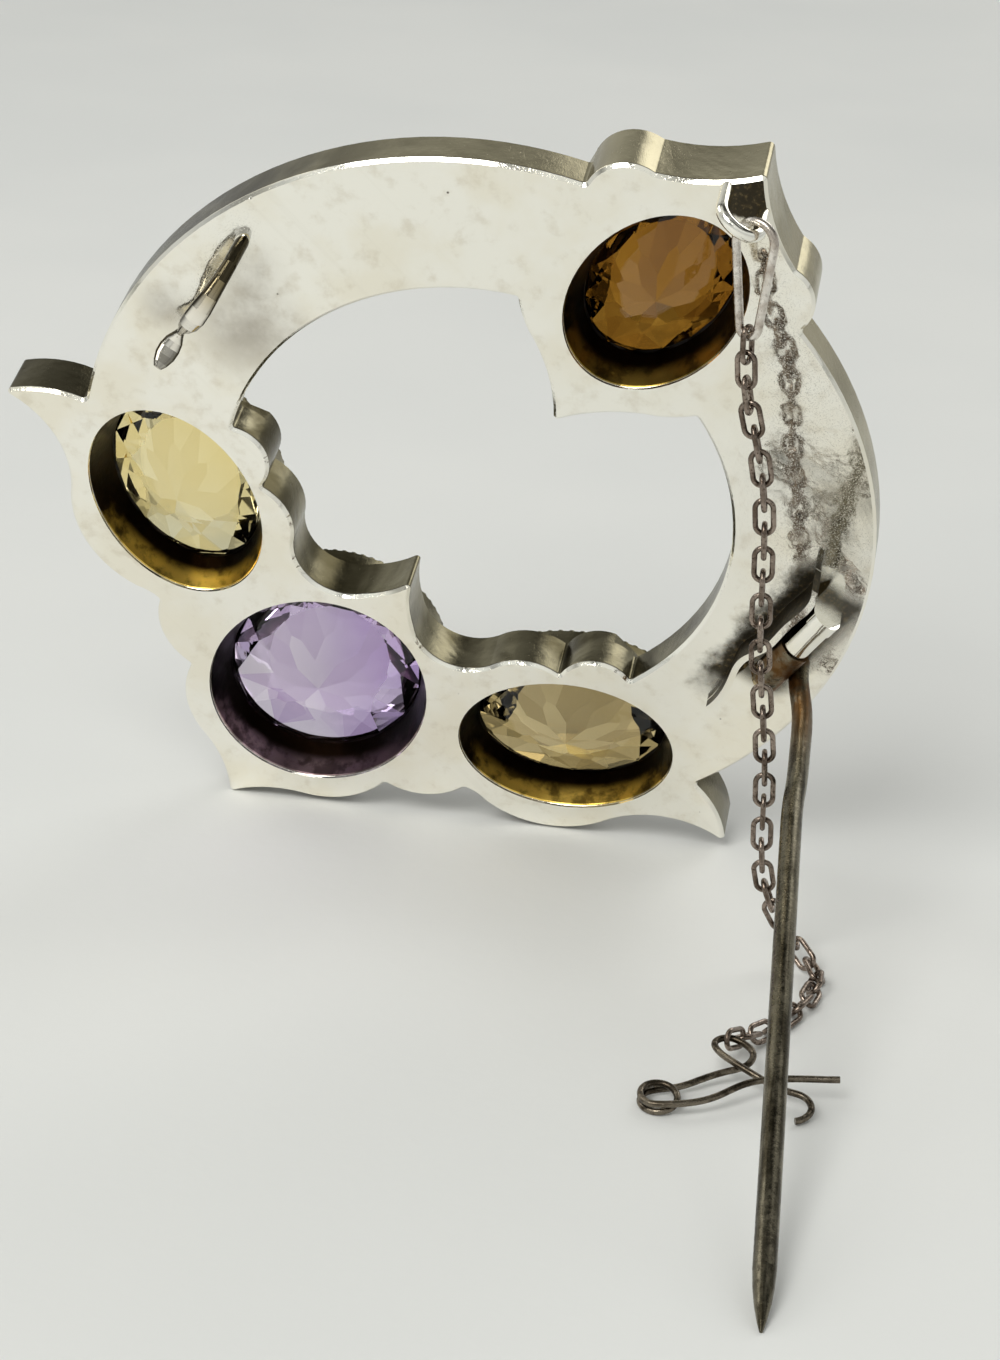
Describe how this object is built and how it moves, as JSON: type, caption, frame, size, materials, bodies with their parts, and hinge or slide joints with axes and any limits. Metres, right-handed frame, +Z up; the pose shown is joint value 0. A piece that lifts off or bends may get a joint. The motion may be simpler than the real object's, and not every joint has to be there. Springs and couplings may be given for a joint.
{
  "type": "agate brooch",
  "caption": "Round silver brooch with curved agate panels and oval faceted stones, hinged pin with catch, and a safety chain with a small safety pin, standing on edge on its open pin.",
  "frame": {"origin": "on the surface it stands on, under the centre of the whole brooch with its chain and pins", "axes": "+Z up; the back of the brooch, with its pin and chain, faces -Y and leans forward over the pin; +X runs along its width to the right as the back is seen"},
  "size_m": [0.0582, 0.0593, 0.0524],
  "materials": {
    "silver": "polished silver with fine scratches and warm tarnish",
    "chain_silver": "worn, slightly tarnished silver",
    "steel": "worn steel with traces of rust",
    "lilac_stone": "clear faceted stone",
    "yellow_stone": "clear faceted stone",
    "smoky_stone": "clear faceted stone",
    "orange_stone": "clear faceted stone",
    "red_agate": "polished opaque stone",
    "grey_agate": "polished banded stone",
    "green_agate": "polished opaque stone"
  },
  "bodies": {
    "brooch": {"silver_mount": "silver", "amethyst": "lilac_stone", "citrine_left": "yellow_stone", "citrine_right": "smoky_stone", "cairngorm": "orange_stone", "agate_panel_1": "red_agate", "agate_panel_2": "grey_agate", "agate_panel_3": "green_agate", "agate_panel_4": "red_agate", "agate_panel_5": "grey_agate", "agate_panel_6": "green_agate", "hinge_rivet": "steel", "long_link": "chain_silver", "chain": "chain_silver", "safety_pin": "steel"},
    "pin": {"brooch_pin": "steel"}
  },
  "joints": [
    {"name": "pin_hinge", "type": "hinge", "parent": "brooch", "child": "pin", "pos_m": [0.02187, 0.01807, 0.0173], "axis": [-0.5577, 0.2302, -0.7975], "range_deg": [0, 92], "deforming": ["chain"]}
  ]
}
